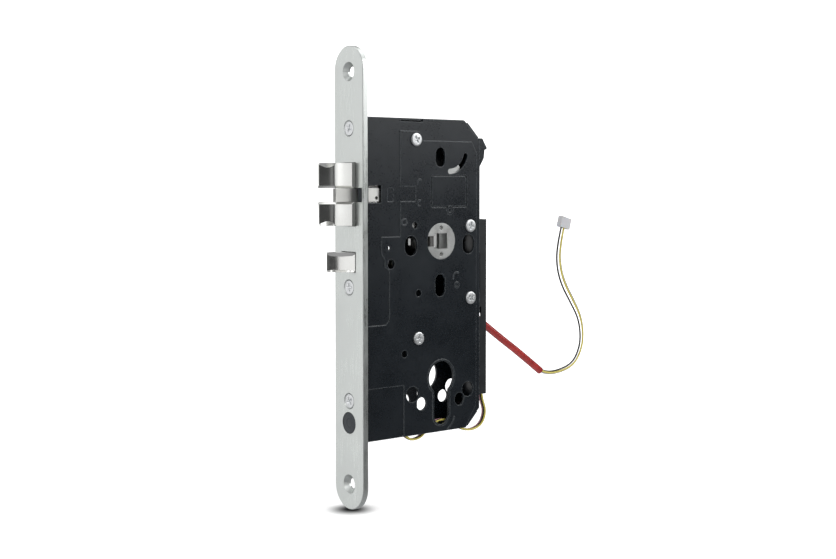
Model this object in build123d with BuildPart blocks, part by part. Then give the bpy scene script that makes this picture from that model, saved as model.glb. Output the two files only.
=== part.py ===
from build123d import *
import os
from math import cos, pi, radians, sin, tan

# Electromechanical euro-profile mortise lock, in millimetres.
# X runs into the door from the back face of the forend, Y across the door's
# thickness (the screwed cover faces -Y), Z up. The origin is the centre of the
# forend's back face.

# ---------------------------------------------------------------- driving sizes
FOREND_LENGTH = 235.0
FOREND_WIDTH = 24.0
FOREND_THICK = 3.0
FIXING_SPACING = 209.0          # door fixing screws, centre to centre
FOREND_SCREWS_Z = [76.0, -4.25, -62.1]
CYLINDER_SCREW_Z = -73.2

CASE_DEPTH = 79.6
CASE_TOP = 82.0
CASE_BOTTOM = -83.0
CASE_HALF = 7.5                 # half the case's thickness
SHEET = 1.2
CORNER_TOP = 11.1
CORNER_BOTTOM = 9.8
SLIT = 0.3                      # gap left between folded walls
STEP = 0.4                      # how far the raised panel stands above the cover
INNER = CASE_HALF - SHEET       # half the free depth inside

BACKSET = 52.0                  # spindle axis behind the forend's back face
SPINDLE_Z = 18.0
CENTRES = 72.0                  # spindle to key cylinder
CYLINDER_Z = SPINDLE_Z - CENTRES
SPINDLE = 8.1                   # square hole
HUB_R = 9.5
FLANGE_R = 11.0
FIT = 0.07                      # radial clearance of a running fit

CYLINDER_R = 8.6
CYLINDER_STEM = 10.3
CYLINDER_LOW = CYLINDER_Z - 25.0

LATCH_LOW = 27.1
LATCH_TALL = 31.5
LATCH_MID = LATCH_LOW + LATCH_TALL / 2
LATCH_HALF = 6.0
LATCH_GAP = 7.0                 # height of the gap that the middle latch works in
GAP_MID = LATCH_MID - 0.3
AUX_LOW = 3.7
AUX_TALL = 10.0
AUX_MID = AUX_LOW + AUX_TALL / 2

ARM_R = 22.0                    # follower axis to the tip that draws the latch
ARM_REST = 20.0                 # degrees that the arm leans forward at rest
TIP_R = 2.0
TAIL_PIN = (57.6, 45.2)         # pin that guides the latch tail
HEEL_R = 15.0                   # follower axis to the heel below it

COVER_SCREWS = [(34.8, 71.0), (72.2, 25.7), (72.4, -13.0), (36.4, -32.3)]
POST_R = 2.6
DEADLOCK_PIVOT = (34.2, 26.7)
KEY_PIVOT = (66.0, -26.0)
PRIVACY_PIVOT = (57.9, 66.3)
PIVOT_R = 1.5

MOTOR_X = 16.0
SCREW_X = 24.0
GEAR_MODULE = 0.5
PINION_TEETH = 12
GEAR_TEETH = 20
GEAR_LOW = -25.6
GEAR_THICK = 2.0

WIRE_D = 1.0
SLEEVE_D = 4.0
SLEEVE_BORE = 3.4

os.makedirs("parts", exist_ok=True)


# ---------------------------------------------------------------- small helpers
def at_y(y):
    """Side-view plane with X to the right and Z up, standing at this Y."""
    return Plane.XZ.offset(-y)


def at_x(x):
    """Front-view plane with Y to the right and Z up, standing at this X."""
    return Plane.YZ.offset(x)


def at_z(z):
    """Plan-view plane with X and Y, lying at this Z."""
    return Plane.XY.offset(z)


def outline(points):
    """A filled outline of straight sides in the current sketch."""
    Polygon(*points, align=None)


def tube_path(points, share=0.45):
    """Straight runs joined by tangent arcs as large as the runs allow."""
    corners = [Vector(*p) for p in points]
    radii = []
    for before, here, after in zip(corners, corners[1:], corners[2:]):
        turn = radians((here - before).get_angle(after - here))
        shorter = min((here - before).length, (after - here).length)
        radii.append(share * shorter / tan(turn / 2))
    return radii


def save(piece, name):
    """Name a finished piece and write it to its own file."""
    piece.part.label = name
    export_step(piece.part, f"parts/{name}.step")


def arc_slot(centre, radius, start, end, width):
    """A round-ended slot along an arc about a point, angles in degrees."""
    return Pos(*centre) * SlotArc(CenterArc((0, 0), radius, start, end - start), width)


def euro_profile():
    """Key cylinder opening in a side-view sketch: a round head over a stem."""
    with Locations((BACKSET, CYLINDER_Z)):
        Circle(CYLINDER_R)
    stem_r = CYLINDER_STEM / 2
    with Locations((BACKSET, (CYLINDER_Z + CYLINDER_LOW + stem_r) / 2)):
        Rectangle(CYLINDER_STEM, CYLINDER_Z - CYLINDER_LOW - stem_r)
    with Locations((BACKSET, CYLINDER_LOW + stem_r)):
        Circle(stem_r)


# openings that run right through both side walls: centre, width, height
THROUGH_SLOTS = [((31.5, 16.1), 8.2, 10.4), ((71.0, 16.0), 8.2, 10.4)]
THROUGH_ROUNDS = [
    ((32.5, -61.3), 4.2), ((38.6, -66.8), 3.4), ((64.8, -66.8), 3.4), ((70.7, -62.0), 4.0),
]
# openings in the cover only
COVER_SLOTS = [((51.45, 62.1), 6.5, 10.2)]
COVER_RINGS = [((57.9, 34.1), 2.4, 1.1), ((27.0, 28.4), 2.0, 1.35), ((62.9, -5.6), 1.7, 0.8)]
COVER_ROUNDS = [
    ((18.45, 7.1), 2.4), ((16.9, 15.3), 1.2), ((34.2, 26.7), 1.8), ((36.6, -8.7), 1.9),
    ((27.2, -39.8), 1.9),
]
WINDOW = (4.15, 38.5, 12.4, 47.5)            # low x, low z, high x, high z
HEX_CENTRE = (51.3, -5.3)
HEX_POINTS = [
    (-3.4, -3.6), (-1.6, -5.8), (1.6, -5.8), (3.4, -3.6), (3.4, 3.6), (1.6, 5.8), (-1.6, 5.8), (-3.4, 3.6),
]
ARC_SLOT_R = 11.56
ARC_SLOT_WIDTH = 2.8
ARC_SLOT_FROM = -89.0
ARC_SLOT_TO = -16.0


def through_holes():
    """Holes that both side walls share, in a side-view sketch."""
    euro_profile()
    with Locations((BACKSET, SPINDLE_Z)):
        Circle(HUB_R + FIT)
    for centre, wide, tall in THROUGH_SLOTS:
        with Locations(centre):
            SlotOverall(tall, wide, rotation=90)
    for centre, radius in THROUGH_ROUNDS:
        with Locations(centre):
            Circle(radius)


# round-ended arcs: the cover's slot, the lever under it and the clutch shoe
SHOE_RISE = 2.5
ARC_SLOT = arc_slot(PRIVACY_PIVOT, ARC_SLOT_R, ARC_SLOT_FROM, ARC_SLOT_TO, ARC_SLOT_WIDTH)
PRIVACY_ARC = arc_slot(PRIVACY_PIVOT, ARC_SLOT_R, -92, -59, 4.2)
# ribs pressed out of the cover beside small stamped holes
COVER_RIBS = [
    arc_slot((37.3, 48.9), 1.5, 60, 200, 0.7),
    arc_slot((37.3, 38.1), 1.5, 80, 270, 0.7),
    arc_slot((62.9, -1.6), 2.6, 70, 190, 0.8),
    arc_slot((BACKSET, CYLINDER_LOW + CYLINDER_STEM / 2), 9.3, -62, -14, 0.8),
]
SHOE_ARC = arc_slot((BACKSET, SPINDLE_Z - SHOE_RISE), 9.4, -148, -70, 2.0)

CASE_POINTS = [
    (0, CASE_TOP),
    (CASE_DEPTH - CORNER_TOP, CASE_TOP),
    (CASE_DEPTH, CASE_TOP - CORNER_TOP),
    (CASE_DEPTH, CASE_BOTTOM + CORNER_BOTTOM),
    (CASE_DEPTH - CORNER_BOTTOM, CASE_BOTTOM),
    (0, CASE_BOTTOM),
]

# ---------------------------------------------------------------- forend
with BuildPart() as forend_plate:
    with BuildSketch(at_x(0)):
        SlotOverall(FOREND_LENGTH, FOREND_WIDTH, rotation=90)
    extrude(amount=-FOREND_THICK)
    front_edges = forend_plate.faces().sort_by(Axis.X)[0].edges()
    chamfer(front_edges, length=0.35)
    front = Plane(origin=(-FOREND_THICK, 0, 0), x_dir=(0, -1, 0), z_dir=(-1, 0, 0))
    with Locations(*[front.location * Location((0, s * FIXING_SPACING / 2, 0)) for s in (1, -1)]):
        CounterSinkHole(radius=2.7, counter_sink_radius=4.85, depth=FOREND_THICK, counter_sink_angle=90)
    with Locations(*[front.location * Location((0, z, 0)) for z in FOREND_SCREWS_Z]):
        CounterSinkHole(radius=2.15, counter_sink_radius=4.2, depth=FOREND_THICK, counter_sink_angle=90)
    with BuildSketch(at_x(0)):
        with Locations((0, CYLINDER_SCREW_Z)):
            Circle(5.55)
        with Locations((0, LATCH_MID)):
            RectangleRounded(2 * LATCH_HALF + 0.6, LATCH_TALL + 0.6, 0.4)
        with Locations((-8.7, GAP_MID)):
            Rectangle(4.8, LATCH_GAP + 0.2)
        with Locations((0.15, AUX_MID)):
            RectangleRounded(12.1, AUX_TALL + 0.5, 0.4)
    extrude(amount=-FOREND_THICK, mode=Mode.SUBTRACT)
save(forend_plate, "forend_plate")

# Three countersunk screws hold the forend to the case.
with BuildPart() as forend_screws:
    for z in FOREND_SCREWS_Z:
        with BuildSketch(Plane.XZ):
            outline([
                (-FOREND_THICK + 0.05, z), (-FOREND_THICK + 0.05, z + 4.05), (-1.05, z + 2.05),
                (-1.05, z + 1.55), (8.0, z + 1.55), (8.6, z + 0.9), (8.6, z),
            ])
        revolve(axis=Axis((0, 0, z), (1, 0, 0)))
        # six-lobed recess
        with BuildSketch(at_x(-FOREND_THICK)):
            with Locations((0, z)):
                Circle(1.05)
                with PolarLocations(1.2, 6, start_angle=30):
                    Circle(0.42)
        extrude(amount=1.3, mode=Mode.SUBTRACT)
save(forend_screws, "forend_screws")

# The moulded plug guides the key cylinder's fixing screw.
with BuildPart() as cylinder_screw_plug:
    with BuildSketch(at_x(-FOREND_THICK + 0.2)):
        with Locations((0, CYLINDER_SCREW_Z)):
            Circle(5.45)
    extrude(amount=FOREND_THICK + SHEET + 1.0)
    with BuildSketch(at_x(-FOREND_THICK + 0.2)):
        with Locations((0, CYLINDER_SCREW_Z)):
            Circle(2.6)
    extrude(amount=FOREND_THICK + SHEET + 1.0, mode=Mode.SUBTRACT)
save(cylinder_screw_plug, "cylinder_screw_plug")

# The glide lines the side of the forend's slot beside the middle latch.
with BuildPart() as latch_glide:
    with BuildSketch(at_x(-0.1)):
        with Locations((-8.75, GAP_MID)):
            Rectangle(4.4, LATCH_GAP)
    extrude(amount=-(FOREND_THICK - 1.2))
save(latch_glide, "latch_glide")

# ---------------------------------------------------------------- case
# The base is the flat wall on the far side; the frame is its bent-up rim.
with BuildPart() as case_base:
    with BuildSketch(at_y(INNER)):
        outline(CASE_POINTS)
    extrude(amount=-SHEET)
    with BuildSketch(at_y(INNER)):
        through_holes()
    extrude(amount=-SHEET, mode=Mode.SUBTRACT)
save(case_base, "case_base")

with BuildPart() as case_frame:
    with BuildSketch(at_y(-INNER)):
        outline(CASE_POINTS)
        # corner flaps, bent over the ends of the rear wall
        outline([
            (CASE_DEPTH - CORNER_TOP + 2.1, CASE_TOP - 2.2),
            (CASE_DEPTH - CORNER_TOP + 3.0, CASE_TOP - 1.3),
            (CASE_DEPTH - 0.4, CASE_TOP - CORNER_TOP + 2.1),
            (CASE_DEPTH - 1.3, CASE_TOP - CORNER_TOP + 1.2),
        ])
        outline([
            (CASE_DEPTH - CORNER_BOTTOM + 1.4, CASE_BOTTOM + 1.5),
            (CASE_DEPTH - CORNER_BOTTOM + 2.0, CASE_BOTTOM + 0.8),
            (CASE_DEPTH - 0.8, CASE_BOTTOM + CORNER_BOTTOM - 2.0),
            (CASE_DEPTH - 1.4, CASE_BOTTOM + CORNER_BOTTOM - 1.3),
        ])
    extrude(amount=-2 * INNER)
    with BuildSketch(at_y(-INNER)):
        outline(CASE_POINTS)
        offset(amount=-SHEET, mode=Mode.REPLACE)
    extrude(amount=-2 * INNER, mode=Mode.SUBTRACT)
    # mouths for the two latches and the cylinder screw in the front wall
    with BuildSketch(at_x(0)):
        with Locations((0, LATCH_MID)):
            Rectangle(2 * INNER, LATCH_TALL + 0.6)
        with Locations((0, AUX_MID)):
            Rectangle(2 * INNER, AUX_TALL + 0.5)
        with Locations((0, CYLINDER_SCREW_Z)):
            Circle(5.6)
        for z in FOREND_SCREWS_Z:
            with Locations((0, z)):
                Circle(1.65)
    extrude(amount=SHEET, mode=Mode.SUBTRACT)
    # the lead's hole in the rear wall and two for the sensor leads in the bottom
    with BuildSketch(at_x(CASE_DEPTH)):
        with Locations((0, -24.0)):
            SlotOverall(9.0, 5.0, rotation=90)
    extrude(amount=-SHEET, mode=Mode.SUBTRACT)
    with BuildSketch(at_z(CASE_BOTTOM)):
        for x, long in ((64.0, 14.0), (36.0, 24.0)):
            with Locations((x, -3.6)):
                RectangleRounded(long, 5.2, 1.5)
    extrude(amount=SHEET, mode=Mode.SUBTRACT)
    # the walls are folded up one by one, so a slit is left at each corner
    for x, z, wide, tall in (
        (SHEET + SLIT, CASE_TOP, SLIT, 4.0),
        (SHEET + SLIT, CASE_BOTTOM, SLIT, 4.0),
        (CASE_DEPTH - CORNER_TOP - SHEET, CASE_TOP, SLIT, 6.0),
        (CASE_DEPTH - CORNER_BOTTOM - SHEET, CASE_BOTTOM, SLIT, 6.0),
        (CASE_DEPTH, CASE_TOP - CORNER_TOP - SHEET, 6.0, SLIT),
        (CASE_DEPTH, CASE_BOTTOM + CORNER_BOTTOM + SHEET, 6.0, SLIT),
    ):
        with Locations((x, 0, z)):
            Box(wide, 2 * INNER, tall, mode=Mode.SUBTRACT)
save(case_frame, "case_frame")

# Posts riveted to the base, each tapped for one cover screw.
with BuildPart() as cover_posts:
    with BuildSketch(at_y(-INNER)):
        for spot in COVER_SCREWS:
            with Locations(spot):
                Circle(POST_R)
    extrude(amount=-2 * INNER)
    with BuildSketch(at_y(-INNER)):
        for spot in COVER_SCREWS:
            with Locations(spot):
                Circle(1.3)
    extrude(amount=-8.0, mode=Mode.SUBTRACT)
save(cover_posts, "cover_posts")

# Blocks behind the forend, each tapped for one forend screw.
with BuildPart() as forend_blocks:
    with BuildSketch(at_y(-4.0)):
        for z in FOREND_SCREWS_Z:
            with Locations((SHEET + 4.0, z)):
                Rectangle(8.0, 8.0)
    extrude(amount=-(4.0 + INNER))
    with BuildSketch(at_x(0)):
        for z in FOREND_SCREWS_Z:
            with Locations((0, z)):
                Circle(1.65)
    extrude(amount=11.0, mode=Mode.SUBTRACT)
save(forend_blocks, "forend_blocks")

# Stops that the latch, auxiliary latch and follower springs push against.
with BuildPart() as spring_stops:
    with BuildSketch(at_y(-4.0)):
        with Locations((34.0, 53.3)):
            Rectangle(2.0, 5.8)
        with Locations((23.0, AUX_MID)):
            Rectangle(2.0, AUX_TALL)
        with Locations((30.0, 3.9)):
            Rectangle(2.0, 5.0)
    extrude(amount=-(4.0 + INNER))
    with BuildSketch(at_x(20)):
        with Locations((0, AUX_MID)):
            Circle(1.8)
    extrude(amount=6.0, mode=Mode.SUBTRACT)
save(spring_stops, "spring_stops")

# The raised panel's edge, as pressed into the cover.
PANEL_POINTS = [
    (1.0, -24.0), (15.0, -24.0), (17.35, -21.6), (17.35, 4.0), (14.6, 5.6), (14.6, 9.4),
    (12.3, 12.6), (12.3, 21.0), (24.6, 21.0), (24.6, 39.0), (34.7, 39.0), (34.7, 46.9),
    (24.6, 46.9), (24.6, 75.3), (37.1, 75.3), (40.0, 70.5), (73.4, 70.5), (76.8, 65.0),
    (76.8, -71.0), (69.0, -82.8), (26.8, -82.8), (26.8, -56.0), (1.0, -56.0),
]

with BuildPart() as case_cover:
    with BuildSketch(at_y(-CASE_HALF + STEP)):
        outline(CASE_POINTS)
        offset(amount=-0.15, mode=Mode.REPLACE)
    extrude(amount=-(SHEET - STEP))
    with BuildSketch(at_y(-CASE_HALF)):
        outline(PANEL_POINTS)
    extrude(amount=-SHEET)
    # pressed rim round the key cylinder
    with BuildSketch(at_y(-CASE_HALF - 0.3)):
        euro_profile()
        offset(amount=1.0, mode=Mode.REPLACE)
    extrude(amount=-1.0)
    # pressed rings and rivet bosses
    with BuildSketch(at_y(-CASE_HALF - 0.35)):
        for centre, outside, inside in COVER_RINGS:
            with Locations(centre):
                Circle(outside)
                Circle(inside, mode=Mode.SUBTRACT)
        for arc in COVER_RIBS:
            add(arc)
    extrude(amount=-0.6)
    # pressed panel and a blind groove, both shallow
    with BuildSketch(at_y(-CASE_HALF)):
        with Locations((57.6, 44.2)):
            RectangleRounded(25.0, 17.1, 1.2)
            RectangleRounded(23.6, 15.7, 0.8, mode=Mode.SUBTRACT)
        with Locations((18.3, 42.5)):
            RectangleRounded(3.9, 7.0, 0.8)
    extrude(amount=-0.65, mode=Mode.SUBTRACT)
    with BuildSketch(at_y(-CASE_HALF - 1.0)):
        through_holes()
        for centre, wide, tall in COVER_SLOTS:
            with Locations(centre):
                SlotOverall(tall, wide, rotation=90)
        for centre, radius in COVER_ROUNDS:
            with Locations(centre):
                Circle(radius)
        for spot in COVER_SCREWS:
            with Locations(spot):
                Circle(1.4)
        with Locations(HEX_CENTRE):
            outline(HEX_POINTS)
        low_x, low_z, high_x, high_z = WINDOW
        with Locations(((low_x + high_x) / 2, (low_z + high_z) / 2)):
            Rectangle(high_x - low_x, high_z - low_z)
        with Locations((32.4, CASE_TOP - 0.6)):
            Rectangle(15.1, 2.4)
        add(ARC_SLOT)
    extrude(amount=-3.0, mode=Mode.SUBTRACT)
save(case_cover, "case_cover")

with BuildPart() as cover_screws:
    for x, z in COVER_SCREWS:
        with BuildSketch(Plane.XY.offset(z)):
            outline([
                (x, -CASE_HALF - 1.1), (x + 2.2, -CASE_HALF - 1.1), (x + 3.0, -CASE_HALF - 0.85),
                (x + 3.4, -CASE_HALF - 0.02), (x + 1.25, -CASE_HALF - 0.02),
                (x + 1.25, 1.0), (x, 1.0),
            ])
        revolve(axis=Axis((x, 0, z), (0, 1, 0)))
        with BuildSketch(at_y(-CASE_HALF - 1.1)):
            for turn in (45, 135):
                with Locations((x, z)):
                    Rectangle(3.2, 0.75, rotation=turn)
        extrude(amount=-0.9, mode=Mode.SUBTRACT)
save(cover_screws, "cover_screws")

# Steel pins riveted into the base; the levers turn on them.
with BuildPart() as pivot_pins:
    with BuildSketch(at_y(-INNER + 0.3)):
        for spot in (DEADLOCK_PIVOT, KEY_PIVOT, PRIVACY_PIVOT):
            with Locations(spot):
                Circle(PIVOT_R)
    extrude(amount=-(2 * INNER - 0.3))
save(pivot_pins, "pivot_pins")

# The wire guard is a channel clipped along the rear wall.
GUARD_OUT = 84.9
with BuildPart() as rear_wire_guard:
    with BuildSketch(at_z(-66.0)):
        with Locations(((CASE_DEPTH + GUARD_OUT) / 2 + 0.05, 0)):
            Rectangle(GUARD_OUT - CASE_DEPTH - 0.1, 13.0)
        with Locations(((CASE_DEPTH + GUARD_OUT) / 2 - 0.45, 0)):
            Rectangle(GUARD_OUT - CASE_DEPTH - 1.0, 11.0, mode=Mode.SUBTRACT)
    extrude(amount=95.0)
    with BuildSketch(at_x(CASE_DEPTH)):
        with Locations((0, -26.5)):
            RectangleRounded(5.4, 9.0, 1.0)
    extrude(amount=6.0, mode=Mode.SUBTRACT)
    with BuildSketch(at_y(-7.0)):
        with Locations((CASE_DEPTH + 0.8, -21.0)):
            Rectangle(1.8, 5.4)
    extrude(amount=-2.0, mode=Mode.SUBTRACT)
    # long lip beside the rear wall
    with BuildSketch(at_y(-6.5)):
        with Locations((CASE_DEPTH + 0.5, 0.4)):
            SlotOverall(20.8, 0.7, rotation=90)
    extrude(amount=0.8)
save(rear_wire_guard, "rear_wire_guard")

# A wedge at the upper rear corner centres the case in the door's pocket.
with BuildPart() as rear_wedge:
    with BuildSketch(at_y(-6.6)):
        outline([
            (CASE_DEPTH + 0.05, 72.6), (81.8, 72.6), (85.1, 67.4), (84.6, 66.7), (83.4, 66.4),
            (82.9, 62.0), (CASE_DEPTH + 0.05, 56.9),
        ])
    extrude(amount=-11.0)
save(rear_wedge, "rear_wedge")

# ---------------------------------------------------------------- latch
# Plan view of the latch head: a hollow ramp from the tip, then a rounded nose.
LATCH_TIP = (-17.8, 4.8)
NOSE_START = (-10.4, 0.75)
NOSE_END = (-5.2, -6.0)

with BuildPart() as latch_head:
    with BuildSketch(at_z(LATCH_LOW)):
        with BuildLine():
            Polyline(
                NOSE_END, (11.0, -LATCH_HALF), (11.0, LATCH_HALF), (-17.1, LATCH_HALF),
                (-18.1, 5.2), LATCH_TIP,
            )
            ThreePointArc(LATCH_TIP, (-13.9, 3.2), NOSE_START)
            ThreePointArc(NOSE_START, (-7.9, -2.8), NOSE_END)
        make_face()
    extrude(amount=LATCH_TALL)
    with BuildSketch(at_y(-LATCH_HALF)):
        with Locations((9.5, GAP_MID)):
            Rectangle(4.0, LATCH_GAP)
    extrude(amount=-5.0, mode=Mode.SUBTRACT)
    with BuildSketch(at_y(-LATCH_HALF)):
        with Locations((-6.0, GAP_MID)):
            Rectangle(28.0, LATCH_GAP)
    extrude(amount=-7.0, mode=Mode.SUBTRACT)
    with BuildSketch(at_y(0.0)):
        with Locations((-6.0, LATCH_MID)):
            Rectangle(28.0, 5.3)
    extrude(amount=-LATCH_HALF - 0.1, mode=Mode.SUBTRACT)
save(latch_head, "latch_head")

TIP_X = BACKSET - ARM_R * sin(radians(ARM_REST))
TIP_Z = SPINDLE_Z + ARM_R * cos(radians(ARM_REST))
LUG_X = TIP_X + TIP_R + 0.2
with BuildPart() as latch_tail:
    with BuildSketch(at_y(1.6)):
        with Locations((35.55, 43.0)):
            Rectangle(49.0, 12.0)
        with Locations((50.0, TAIL_PIN[1])):
            SlotOverall(19.5, 3.3, mode=Mode.SUBTRACT)
        with Locations((24.0, 43.0)):
            SlotOverall(20.0, 4.0, mode=Mode.SUBTRACT)
    extrude(amount=-1.8)
    with BuildSketch(at_y(-4.8)):
        with Locations((LUG_X + 1.5, TIP_Z + 0.8)):
            Rectangle(3.0, 3.6)
    extrude(amount=-6.4)
    with BuildSketch(at_y(-5.6)):
        with Locations((31.0, GAP_MID)):
            Rectangle(2.0, 6.0)
    extrude(amount=-7.2)
save(latch_tail, "latch_tail")

with BuildPart() as tail_guide_pin:
    with BuildSketch(at_y(-1.6)):
        with Locations(TAIL_PIN):
            Circle(1.55)
    extrude(amount=-(INNER + 1.6))
    with BuildSketch(at_y(-1.6)):
        with Locations(TAIL_PIN):
            Circle(2.6)
    extrude(amount=-2.9)
save(tail_guide_pin, "tail_guide_pin")


def coil(name, start, direction, length, radius, wire_r, turns):
    """A compression spring of round wire, written as its own piece."""
    with BuildPart() as spring:
        with BuildLine():
            helix = Helix(length / turns, length, radius, center=start, direction=direction)
        with BuildSketch(Plane(origin=helix @ 0, z_dir=helix % 0)):
            Circle(wire_r)
        sweep(path=helix, is_frenet=True)
    save(spring, name)


coil("latch_spring", (11.45, 3.4, 53.2), (1, 0, 0), 21.1, 1.9, 0.35, 10)
coil("counter_latch_spring", (12.5, -3.4, 42.4), (1, 0, 0), 17.0, 1.8, 0.3, 9)
coil("aux_latch_spring", (6.45, 0, AUX_MID), (1, 0, 0), 15.1, 2.6, 0.35, 7)
coil("follower_spring", (31.4, 0, 3.9), (1, 0, 0), 22.6, 1.6, 0.35, 10)

with BuildPart() as counter_latch:
    with BuildSketch(at_z(GAP_MID - 3.35)):
        with BuildLine():
            Polyline(
                (-4.5, 5.8), (-2.5, 5.8), (-2.5, -1.2), (12.0, -1.2), (12.0, -5.9),
                (-15.2, -5.9), (-16.4, -5.2),
            )
            ThreePointArc((-16.4, -5.2), (-10.8, 0.8), (-4.5, 5.8))
        make_face()
    extrude(amount=6.7)
    with BuildSketch(at_y(0.85)):
        for side in (1, -1):
            with Locations((-9.0, LATCH_MID + side * 4.55)):
                Rectangle(18.0, 4.0)
    extrude(amount=-6.0, mode=Mode.SUBTRACT)
    with BuildSketch(at_y(-LATCH_HALF)):
        with Locations((10.2, 41.0)):
            Circle(0.9)
    extrude(amount=-6.0, mode=Mode.SUBTRACT)
save(counter_latch, "counter_latch")

with BuildPart() as aux_latch:
    with BuildSketch(at_z(AUX_LOW)):
        with BuildLine():
            Polyline((-3.2, -5.6), (6.0, -5.6), (6.0, 5.9), (-12.3, 5.9), (-12.9, 5.3))
            ThreePointArc((-12.9, 5.3), (-7.6, 0.3), (-3.2, -5.6))
        make_face()
    extrude(amount=AUX_TALL)
    with BuildSketch(at_x(6.0)):
        with Locations((0, AUX_MID)):
            Circle(1.6)
    extrude(amount=14.0)
save(aux_latch, "aux_latch")

# ---------------------------------------------------------------- follower
def follower_hub(name, outer, inner):
    """One half of the split follower, from the case's face to the middle."""
    side = 1 if outer > 0 else -1
    with BuildPart() as hub:
        with BuildSketch(at_y(outer)):
            with Locations((BACKSET, SPINDLE_Z)):
                Circle(HUB_R)
        extrude(amount=side * (SHEET + 0.2))
        with BuildSketch(at_y(side * (INNER - 0.1))):
            with Locations((BACKSET, SPINDLE_Z)):
                Circle(FLANGE_R)
        extrude(amount=side * (INNER - 0.1 - abs(inner)))
        with BuildSketch(at_y(outer)):
            with Locations((BACKSET, SPINDLE_Z)):
                Rectangle(SPINDLE, SPINDLE)
        extrude(amount=side * (abs(outer) - abs(inner)), mode=Mode.SUBTRACT)
        if side > 0:
            # ring groove that the clutch shoe runs in, and the clutch pin's hole
            with BuildSketch(at_y(5.0)):
                with Locations((BACKSET, SPINDLE_Z)):
                    Circle(FLANGE_R + 1)
                    Circle(8.0, mode=Mode.SUBTRACT)
            extrude(amount=2.0, mode=Mode.SUBTRACT)
            with BuildSketch(at_z(SPINDLE_Z - FLANGE_R - 1)):
                with Locations((BACKSET, 4.0)):
                    Circle(1.0 + FIT)
            extrude(amount=9.0, mode=Mode.SUBTRACT)
        else:
            # slot for the spindle clamp and two holes for the pins
            with BuildSketch(at_y(outer)):
                with Locations((BACKSET - 6.8, SPINDLE_Z)):
                    Rectangle(5.6, 5.5)
            extrude(amount=-2.6, mode=Mode.SUBTRACT)
            with BuildSketch(at_y(outer)):
                with Locations((BACKSET, SPINDLE_Z + 7.0), (BACKSET, SPINDLE_Z - 7.0)):
                    Circle(1.15)
            extrude(amount=-(abs(outer) - abs(inner)), mode=Mode.SUBTRACT)
    save(hub, name)


follower_hub("inner_follower_hub", -CASE_HALF, -1.1)
follower_hub("outer_follower_hub", CASE_HALF, 1.1)

def arm_point(along, across):
    """A point on the follower's arm, as it leans at rest."""
    lean = radians(ARM_REST)
    return (
        BACKSET - along * sin(lean) + across * cos(lean),
        SPINDLE_Z + along * cos(lean) + across * sin(lean),
    )


with BuildPart() as follower_cam:
    with BuildSketch(at_y(-1.0)):
        with Locations((BACKSET, SPINDLE_Z)):
            Circle(10.6)
        outline([
            arm_point(along, across)
            for along, across in (
                (ARM_R, -1.9), (ARM_R, 1.6), (17.0, 2.0), (8.0, 6.5), (8.0, -6.5), (16.0, -2.6),
            )
        ])
        with Locations((TIP_X, TIP_Z)):
            Circle(TIP_R)
        heel = (BACKSET + HEEL_R * sin(radians(ARM_REST)), SPINDLE_Z - HEEL_R * cos(radians(ARM_REST)))
        outline([
            (heel[0] - 1.9, heel[1]), (heel[0] + 1.9, heel[1]),
            (BACKSET + 7, SPINDLE_Z - 6), (BACKSET + 2.6, SPINDLE_Z - 9.5),
        ])
        with Locations(heel):
            Circle(TIP_R)
        # tooth at the side that reads the handle's position
        outline([
            (BACKSET - 9, SPINDLE_Z + 5), (BACKSET - 15.5, SPINDLE_Z + 1.5),
            (BACKSET - 15.5, SPINDLE_Z - 2), (BACKSET - 9, SPINDLE_Z - 6),
        ])
        with Locations((BACKSET, SPINDLE_Z)):
            Circle(6.2, mode=Mode.SUBTRACT)
        with Locations((BACKSET, SPINDLE_Z + 7.0), (BACKSET, SPINDLE_Z - 7.0)):
            Circle(1.15, mode=Mode.SUBTRACT)
    extrude(amount=-2.0)
save(follower_cam, "follower_cam")

with BuildPart() as follower_pins:
    with BuildSketch(at_y(-CASE_HALF + 0.4)):
        with Locations((BACKSET, SPINDLE_Z + 7.0), (BACKSET, SPINDLE_Z - 7.0)):
            Circle(1.1)
    extrude(amount=-(CASE_HALF - 0.4 + 0.9))
save(follower_pins, "follower_pins")

with BuildPart() as spindle_clamp:
    with BuildSketch(at_y(-CASE_HALF + 0.7)):
        with Locations((BACKSET - 5.9, SPINDLE_Z)):
            Rectangle(2.6, 5.3)
    extrude(amount=-1.8)
save(spindle_clamp, "spindle_clamp")

with BuildPart() as clutch_pin:
    with BuildSketch(at_z(SPINDLE_Z - 9.6)):
        with Locations((BACKSET, 4.0)):
            Circle(1.0)
    extrude(amount=2.7)
save(clutch_pin, "clutch_pin")

# ---------------------------------------------------------------- levers
def lever(name, pivot, spots, width, y_low, y_high, boss=3.4, lug=0.0):
    """A flat lever: a boss on its pivot, a bar through the spots, a lug on the last one."""
    with BuildPart() as plate:
        with BuildSketch(at_y(y_low)):
            with BuildLine():
                Polyline(*spots)
            trace(line_width=width)
            for spot in (spots[0], spots[-1]):
                with Locations(spot):
                    Circle(width / 2)
            with Locations(pivot):
                Circle(boss)
                Circle(PIVOT_R + FIT, mode=Mode.SUBTRACT)
        extrude(amount=y_low - y_high)
        if lug:
            with BuildSketch(at_y(y_high)):
                with Locations(spots[-1]):
                    Circle(width / 2)
            extrude(amount=-lug)
    save(plate, name)


lever("deadlock_lever", DEADLOCK_PIVOT, [(18.0, 20.6), DEADLOCK_PIVOT, (37.6, 34.0)], 3.2, -4.6, -3.0)
lever("key_lever", KEY_PIVOT, [(60.8, -40.5), KEY_PIVOT, (61.35, 3.9)], 4.0, -4.6, -3.0, 4.0, lug=4.0)

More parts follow.
